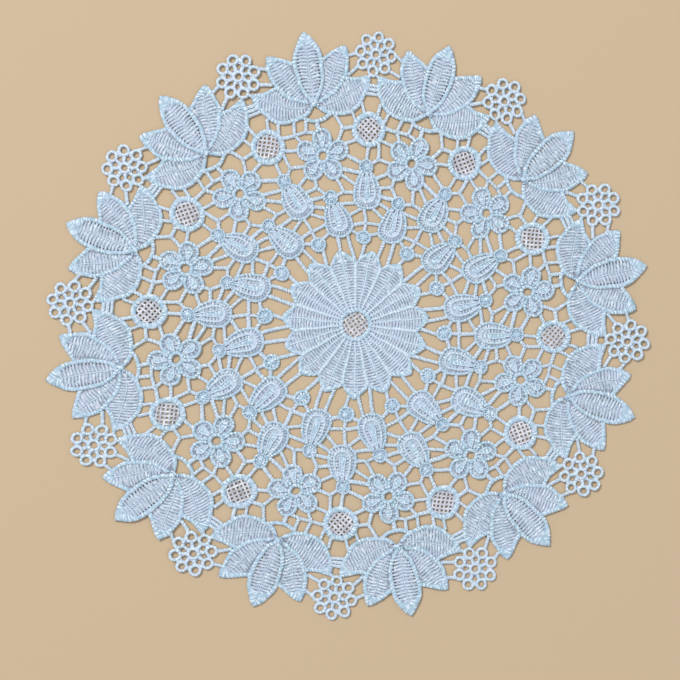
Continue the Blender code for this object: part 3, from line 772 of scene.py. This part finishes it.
def rosette_petal(at):
    """The rib beside a petal, the cord along it and its ladder of threads."""
    rib = smooth(spread(np.array(RIB), at + ROSE_TURN / 2))
    rose_cords.satin(rib, np.linspace(*RIB_WIDTH, len(rib)), RIB_HIGH, pinch=0.88)
    spine = smooth(spread(np.array(SPINE), at))
    rose_cords.satin(spine, *SPINE_CORD, **VEIN)
    out = np.arange(*LADDER, LADDER_STEP)
    shorter = np.clip((LADDER_TIP - out) / (LADDER_TIP - LADDER_FULL), 0.02, 1) ** (1 / ROSE_POINT)
    for side in (-1, 1):
        start, end = spread(out, at), spread(out, at + side * shorter * ROSE_TURN / 2)
        width = [share * LADDER_STEP for share in LADDER_WIDTH]
        high = rng.uniform(*LADDER_HIGH, len(out))
        waist = rng.uniform(*LADDER_WAIST, len(out)) - LADDER_UNLIKE * side
        ladders.threads(start, end, width, high, places=7, bend=-LADDER_BEND * side, waist=waist)


# ---- drawing it all
lotus_flower()
for ends_and_width in BRIDES + MORE_BRIDES:
    bride(*ends_and_width)
for knob_x, knob_y, foot_x, foot_y in TEARS:
    teardrop(np.array((knob_x, knob_y)), np.array((foot_x, foot_y)))
    tear_knob(np.array((knob_x, knob_y)))
flower()
net_disc()
boss()
ring_cluster()
rosette_rim()
for rose_petal in range(ROSE_PETALS):
    rosette_petal(ROSE_AT + ROSE_TURN * rose_petal)

# ---- meshes
UV_UNIT = 100.0  # millimetres to one unit of the UVs
YARN_SHIFT = 3.7  # from one repeat's yarn pattern to the next
WEB_LOW, WEB_THICK = 0.14, 0.22  # underside and thickness of the backing web
WEB_GRAIN = np.array(((0.8, -0.6), (0.6, 0.8)))  # turns its fibres off the x axis


def mesh_object(name, points, corners, sizes, marks, materials, second=None):
    """A piece of the doily from its points, the corners of all faces, how many each
    has, and the corners' UVs. Without faces of a second material it is smooth."""
    mesh = bpy.data.meshes.new(name)
    mesh.vertices.add(len(points))
    mesh.vertices.foreach_set("co", (points * MM).ravel())
    mesh.loops.add(len(corners))
    mesh.loops.foreach_set("vertex_index", corners.astype(np.int32))
    mesh.polygons.add(len(sizes))
    mesh.polygons.foreach_set("loop_start", (np.cumsum(sizes) - sizes).astype(np.int32))
    mesh.polygons.foreach_set("use_smooth", np.full(len(sizes), second is None))
    mesh.uv_layers.new(name="stitch").data.foreach_set("uv", marks.ravel() / UV_UNIT)
    for material in materials:
        mesh.materials.append(material)
    if second is not None:
        mesh.polygons.foreach_set("material_index", second.astype(np.int32))
    mesh.update(calc_edges=True)
    mesh.validate()
    piece = bpy.data.objects.new(name, mesh)
    bpy.context.collection.objects.link(piece)
    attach(piece, "root")
    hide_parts("doily")
    return piece


def sewn(name, material, repeated=None, middle=None):
    """The strips of a repeat laid twelve times round, with those of the rosette."""
    laid = [(repeated, repeat) for repeat in range(REPEATS)] if repeated else []
    if middle:
        laid.append((middle, None))
    points, quads, marks, count = [], [], [], 0
    for strips, repeat in laid:
        points.append(lie(np.vstack(strips.points), repeat))
        quads.append(np.vstack(strips.quads) + count)
        marks.append(np.vstack(strips.marks) + (YARN_SHIFT * (repeat or 0), 0))
        count += strips.count
    quads = np.vstack(quads)
    return mesh_object(name, np.vstack(points), quads.ravel(), np.full(len(quads), 4),
                       np.vstack(marks), [material])


def joined(outlines):
    """Points and triangles of all outlines joined, less their openings."""
    coords, faces, kinds = [], [], []
    for outline, kind in outlines:
        x, y = outline.T
        if (np.roll(x, 1) * y - x * np.roll(y, 1)).sum() < 0:
            outline = outline[::-1]
        faces.append(list(range(len(coords), len(coords) + len(outline))))
        coords += [Vector((float(a), float(b))) for a, b in outline]
        kinds.append(kind)
    places, _, triangles, _, _, sources = delaunay_2d_cdt(coords, [], faces, 0, 1e-4)
    kept = []
    for triangle, source in zip(triangles, sources):
        found = {kinds[s] for s in source}
        if SOLID in found and OPENING not in found:
            kept.append(triangle)
    used = sorted({v for triangle in kept for v in triangle})
    number = {v: n for n, v in enumerate(used)}
    return (np.array([tuple(places[v]) for v in used]),
            np.array([[number[v] for v in triangle] for triangle in kept]))


def web(name, below, above):
    """The thin backing web, its top dark with painted shade, and its area and size laid flat, in
    metres.
    """
    outlines = list(rose_plates)
    for repeat in range(REPEATS):
        outlines += [(uneven(turned(outline, spoke(repeat))), kind) for outline, kind in plates]
    drawn, triangles = joined(outlines)
    low = lie(np.column_stack([drawn, np.full(len(drawn), WEB_LOW)]))
    points, n = np.vstack([low, low + (0, 0, WEB_THICK)]), len(low)
    sides = {(int(a), int(b)) for t in triangles for a, b in zip(t, np.roll(t, -1))}
    walls = [(a + n, b + n, b, a) for a, b in sorted(sides) if (b, a) not in sides]
    corners = np.concatenate([triangles[:, ::-1].ravel(), (triangles + n).ravel(), np.ravel(walls)])
    counts = len(triangles), len(triangles), len(walls)
    sizes = np.repeat((3, 3, 4), counts)
    # the top faces get the second material, dark with painted shade
    shaded_top_faces = np.repeat((False, True, False), counts)
    marks = points[corners][:, :2] @ WEB_GRAIN
    piece = mesh_object(name, points, corners, sizes, marks, [below, above], shaded_top_faces)
    flat = low[:, :2]
    a, b, c = flat[triangles].transpose(1, 2, 0)
    (bx, by), (cx, cy) = b - a, c - a
    area = abs((bx * cy - cx * by).sum() / 2)
    size = flat.max(0) - flat.min(0)
    return piece, area * MM * MM, size * MM


# ---- materials
WAVE_SCALE = 31.4  # of a wave texture with a band to each mm of the UVs
FIBRE_SCALE, PATCH_SCALE = 2600.0, 70.0
FLECK_LONG = 5  # flecks are so many times as long as wide
ROUGH, SHEEN, SPECULAR = 0.5, 0.35, 0.35
BUMP, BUMP_HIGH = 0.5, 0.08
PAINTED_GLINT = (0.93, 0.96, 1.0)  # colour of the painted highlights, flecks as if they catch the light
WARM = (1.06, 0.94, 0.99)  # the crest's colour is changed by this in patches


def feed(tree, socket, value):
    """Links an input to another node's output, or sets its value or colour."""
    if isinstance(value, bpy.types.NodeSocket):
        tree.links.new(value, socket)
    elif isinstance(value, tuple) and socket.type == "RGBA":
        socket.default_value = (*value, 1.0)
    else:
        socket.default_value = value


def node(tree, kind, **values):
    """A new node. Its values name its settings, or its inputs with _ for a blank."""
    made = tree.nodes.new(kind)
    for key, value in values.items():
        if hasattr(made, key):
            setattr(made, key, value)
        else:
            feed(tree, made.inputs[key.replace("_", " ")], value)
    return made


def ramp(tree, socket, **limits):
    """The value brought from one pair of limits to another, 0 and 1 where not given."""
    return node(tree, "ShaderNodeMapRange", Value=socket, **limits).outputs["Result"]


def mix(tree, kind, factor, first, second):
    """Two colours mixed by a factor."""
    made = node(tree, "ShaderNodeMix", data_type="RGBA", blend_type=kind, Factor=factor)
    feed(tree, made.inputs[6], first)
    feed(tree, made.inputs[7], second)
    return made.outputs[2]


def thread_material(name, crest, shade_colour, low, high, pitch=0.34, fleck=0.85, shadow=0.95,
                    glint=0.85):
    """Fine threads by their UVs, with painted shade: the shade colour at the height low,
    the crest colour at high, and darker between the fibres. Pitch is from thread to
    thread, fleck the width of a fleck, and shadow and glint say how many flecks get
    painted shade and painted highlights."""
    material = bpy.data.materials.new(name)
    material.use_nodes = True
    tree = material.node_tree
    place = node(tree, "ShaderNodeTexCoord").outputs
    uv, spot = place["UV"], place["Object"]
    wave = node(tree, "ShaderNodeTexWave", Vector=uv, wave_type="BANDS", bands_direction="X",
                Scale=WAVE_SCALE / pitch, Distortion=1.6, Detail=2.0, Detail_Scale=2.0)
    fibre = node(tree, "ShaderNodeTexNoise", Vector=spot, Scale=FIBRE_SCALE, Detail=3.0)
    patch = node(tree, "ShaderNodeTexNoise", Vector=spot, Scale=PATCH_SCALE, Detail=2.0)
    # the flecks of painted shade and painted highlight differ from one thread to the next, and a
    # little along each
    stretch = UV_UNIT / fleck, UV_UNIT / (FLECK_LONG * fleck), 1
    stretched = node(tree, "ShaderNodeMapping", Vector=uv, Scale=stretch).outputs["Vector"]
    single = node(tree, "ShaderNodeTexNoise", Vector=stretched, Scale=1.0, Detail=2.0)
    bands, fibres, patches, flecks = (n.outputs["Fac"] for n in (wave, fibre, patch, single))

    # painted shade: lower parts are darker, in the shade colour at the height low and the crest
    # colour at high
    height = node(tree, "ShaderNodeSeparateXYZ", Vector=spot).outputs["Z"]
    height_shade = ramp(tree, height, From_Min=low * MM, From_Max=high * MM)
    colour = mix(tree, "MIX", height_shade, shade_colour, crest)
    # painted shade: darker in the grooves between the fine fibres
    groove = ramp(tree, bands, To_Min=0.30, To_Max=0.0)
    colour = mix(tree, "MULTIPLY", groove, colour, tuple(0.72 * c + 0.1 for c in shade_colour))
    # painted shade: some flecks darkened
    shade_flecks = ramp(tree, flecks, To_Min=3.0 * shadow, To_Max=-2.4 * shadow)
    colour = mix(tree, "MIX", shade_flecks, colour, tuple(0.7 * c for c in shade_colour))
    # painted highlights: some flecks paler, as if they catch the light
    glint_flecks = ramp(tree, flecks, To_Min=-3.4 * glint, To_Max=3.4 * glint)
    colour = mix(tree, "MIX", glint_flecks, colour, PAINTED_GLINT)
    warm = tuple(min(1.0, c * k) for c, k in zip(crest, WARM))
    colour = mix(tree, "MIX", ramp(tree, patches, To_Min=-0.35, To_Max=0.9), colour, warm)

    relief = node(tree, "ShaderNodeMath", operation="MULTIPLY_ADD")
    for socket, value in zip(relief.inputs, (fibres, 0.6, bands)):
        feed(tree, socket, value)
    bump = node(tree, "ShaderNodeBump", Strength=BUMP, Distance=BUMP_HIGH * MM,
                Height=relief.outputs["Value"])
    shader = tree.nodes["Principled BSDF"].inputs
    feed(tree, shader["Base Color"], colour)
    rough = ramp(tree, fibres, To_Min=ROUGH - 0.12, To_Max=ROUGH + 0.16)
    feed(tree, shader["Roughness"], rough)
    feed(tree, shader["Normal"], bump.outputs["Normal"])
    shader["Sheen Weight"].default_value = SHEEN
    shader["Sheen Roughness"].default_value = 0.4
    shader["Specular IOR Level"].default_value = SPECULAR
    return material


satin = thread_material("lace_satin", (0.475, 0.68, 0.81), (0.405, 0.60, 0.745), low=0.4,
                        high=1.6, shadow=1.1, glint=1.15)
filling = thread_material("lace_filling", (0.54, 0.67, 0.79), (0.48, 0.60, 0.715), low=0.3,
                          high=1.3, pitch=0.4, fleck=0.7, shadow=0.65, glint=0.7)
cord = thread_material("lace_braid", (0.63, 0.795, 0.91), (0.49, 0.65, 0.785), low=0.5,
                       high=1.4, shadow=0.8)
net_thread = thread_material("lace_net", (0.64, 0.695, 0.76), (0.47, 0.50, 0.56), low=0.3,
                             high=1.1, pitch=0.3)
backing = thread_material("lace_backing", (0.46, 0.58, 0.71), (0.42, 0.54, 0.67), low=0.0,
                          high=0.8, pitch=0.4, fleck=0.5)
# painted shade: the web's dark top, seen as the shade between and under the threads
painted_web_shade = thread_material("lace_painted_web_shade", (0.33, 0.385, 0.46), (0.29, 0.34, 0.41), low=0.0,
                         high=0.8, pitch=0.5)

# ---- pieces
web_piece, web_area, web_size = web("doily_web", backing, painted_web_shade)
made = [
    sewn("doily_lotus_borders", satin, borders),
    sewn("doily_lotus_fillings", filling, fills),
    sewn("doily_rings", cord, rings),
    sewn("doily_braids", cord, braids),
    sewn("doily_flowers", satin, flowers),
    sewn("doily_teardrops", satin, tears),
    sewn("doily_teardrop_ladders", filling, rungs),
    sewn("doily_raised_cords", cord, cords, rose_cords),
    sewn("doily_discs", satin, discs),
    sewn("doily_nets", net_thread, nets, rose_net),
    sewn("doily_rosette", satin, middle=rose),
    sewn("doily_rosette_ladders", filling, middle=ladders),
]

# ---- the stage, in metres
FLOOR_HALF, FLOOR_TOP = 2, -0.0001
FLOOR_COLOUR, FLOOR_ROUGH = (0.56, 0.425, 0.28, 1), 0.9
SKY_COLOUR, SKY_STRENGTH = (0.93, 0.96, 1.0, 1), 0.56
VIEW_X, VIEW_Y, VIEW_WIDE = -7.7 * MM, -7.7 * MM, 0.340  # middle and width of the photograph
LENS, SENSOR = 85, 36  # millimetres


def plain_floor():
    """A plain warm floor just under the doily."""
    h = FLOOR_HALF
    mesh = bpy.data.meshes.new("floor")
    mesh.from_pydata([(-h, -h, 0), (h, -h, 0), (h, h, 0), (-h, h, 0)], [], [(0, 1, 2, 3)])
    paper = bpy.data.materials.new("floor_paper")
    paper.use_nodes = True
    shader = paper.node_tree.nodes["Principled BSDF"].inputs
    shader["Base Color"].default_value = FLOOR_COLOUR
    shader["Roughness"].default_value = FLOOR_ROUGH
    mesh.materials.append(paper)
    made = bpy.data.objects.new("floor", mesh)
    made.location.z = FLOOR_TOP
    bpy.context.collection.objects.link(made)
    return made


def lamp(name, place, size, power, colour):
    """A round soft lamp that points at the doily's middle."""
    data = bpy.data.lights.new(name, "AREA")
    data.shape, data.size, data.energy, data.color = "DISK", size, power, colour
    made = bpy.data.objects.new(name, data)
    made.location = place
    made.rotation_euler = Vector(place).to_track_quat("Z", "Y").to_euler()
    bpy.context.collection.objects.link(made)


def sky():
    """Even light from all round."""
    world = bpy.data.worlds.new("studio")
    world.use_nodes = True
    background = world.node_tree.nodes["Background"].inputs
    background["Color"].default_value = SKY_COLOUR
    background["Strength"].default_value = SKY_STRENGTH
    bpy.context.scene.world = world


def camera_above():
    """The photograph is taken from straight above."""
    view = bpy.data.cameras.new("camera")
    view.lens, view.sensor_width = LENS, SENSOR
    camera = bpy.data.objects.new("camera", view)
    camera.location = (VIEW_X, VIEW_Y, VIEW_WIDE * LENS / SENSOR)
    bpy.context.collection.objects.link(camera)
    bpy.context.scene.camera = camera
    bpy.context.scene.view_settings.view_transform = "Standard"


floor = plain_floor()
sky()
lamp("key", (-1.45, 1.65, 2.6), 0.75, 79, (1.0, 0.98, 0.95))
lamp("fill", (2.0, -1.2, 2.6), 2.4, 16, (0.92, 0.96, 1.0))
camera_above()
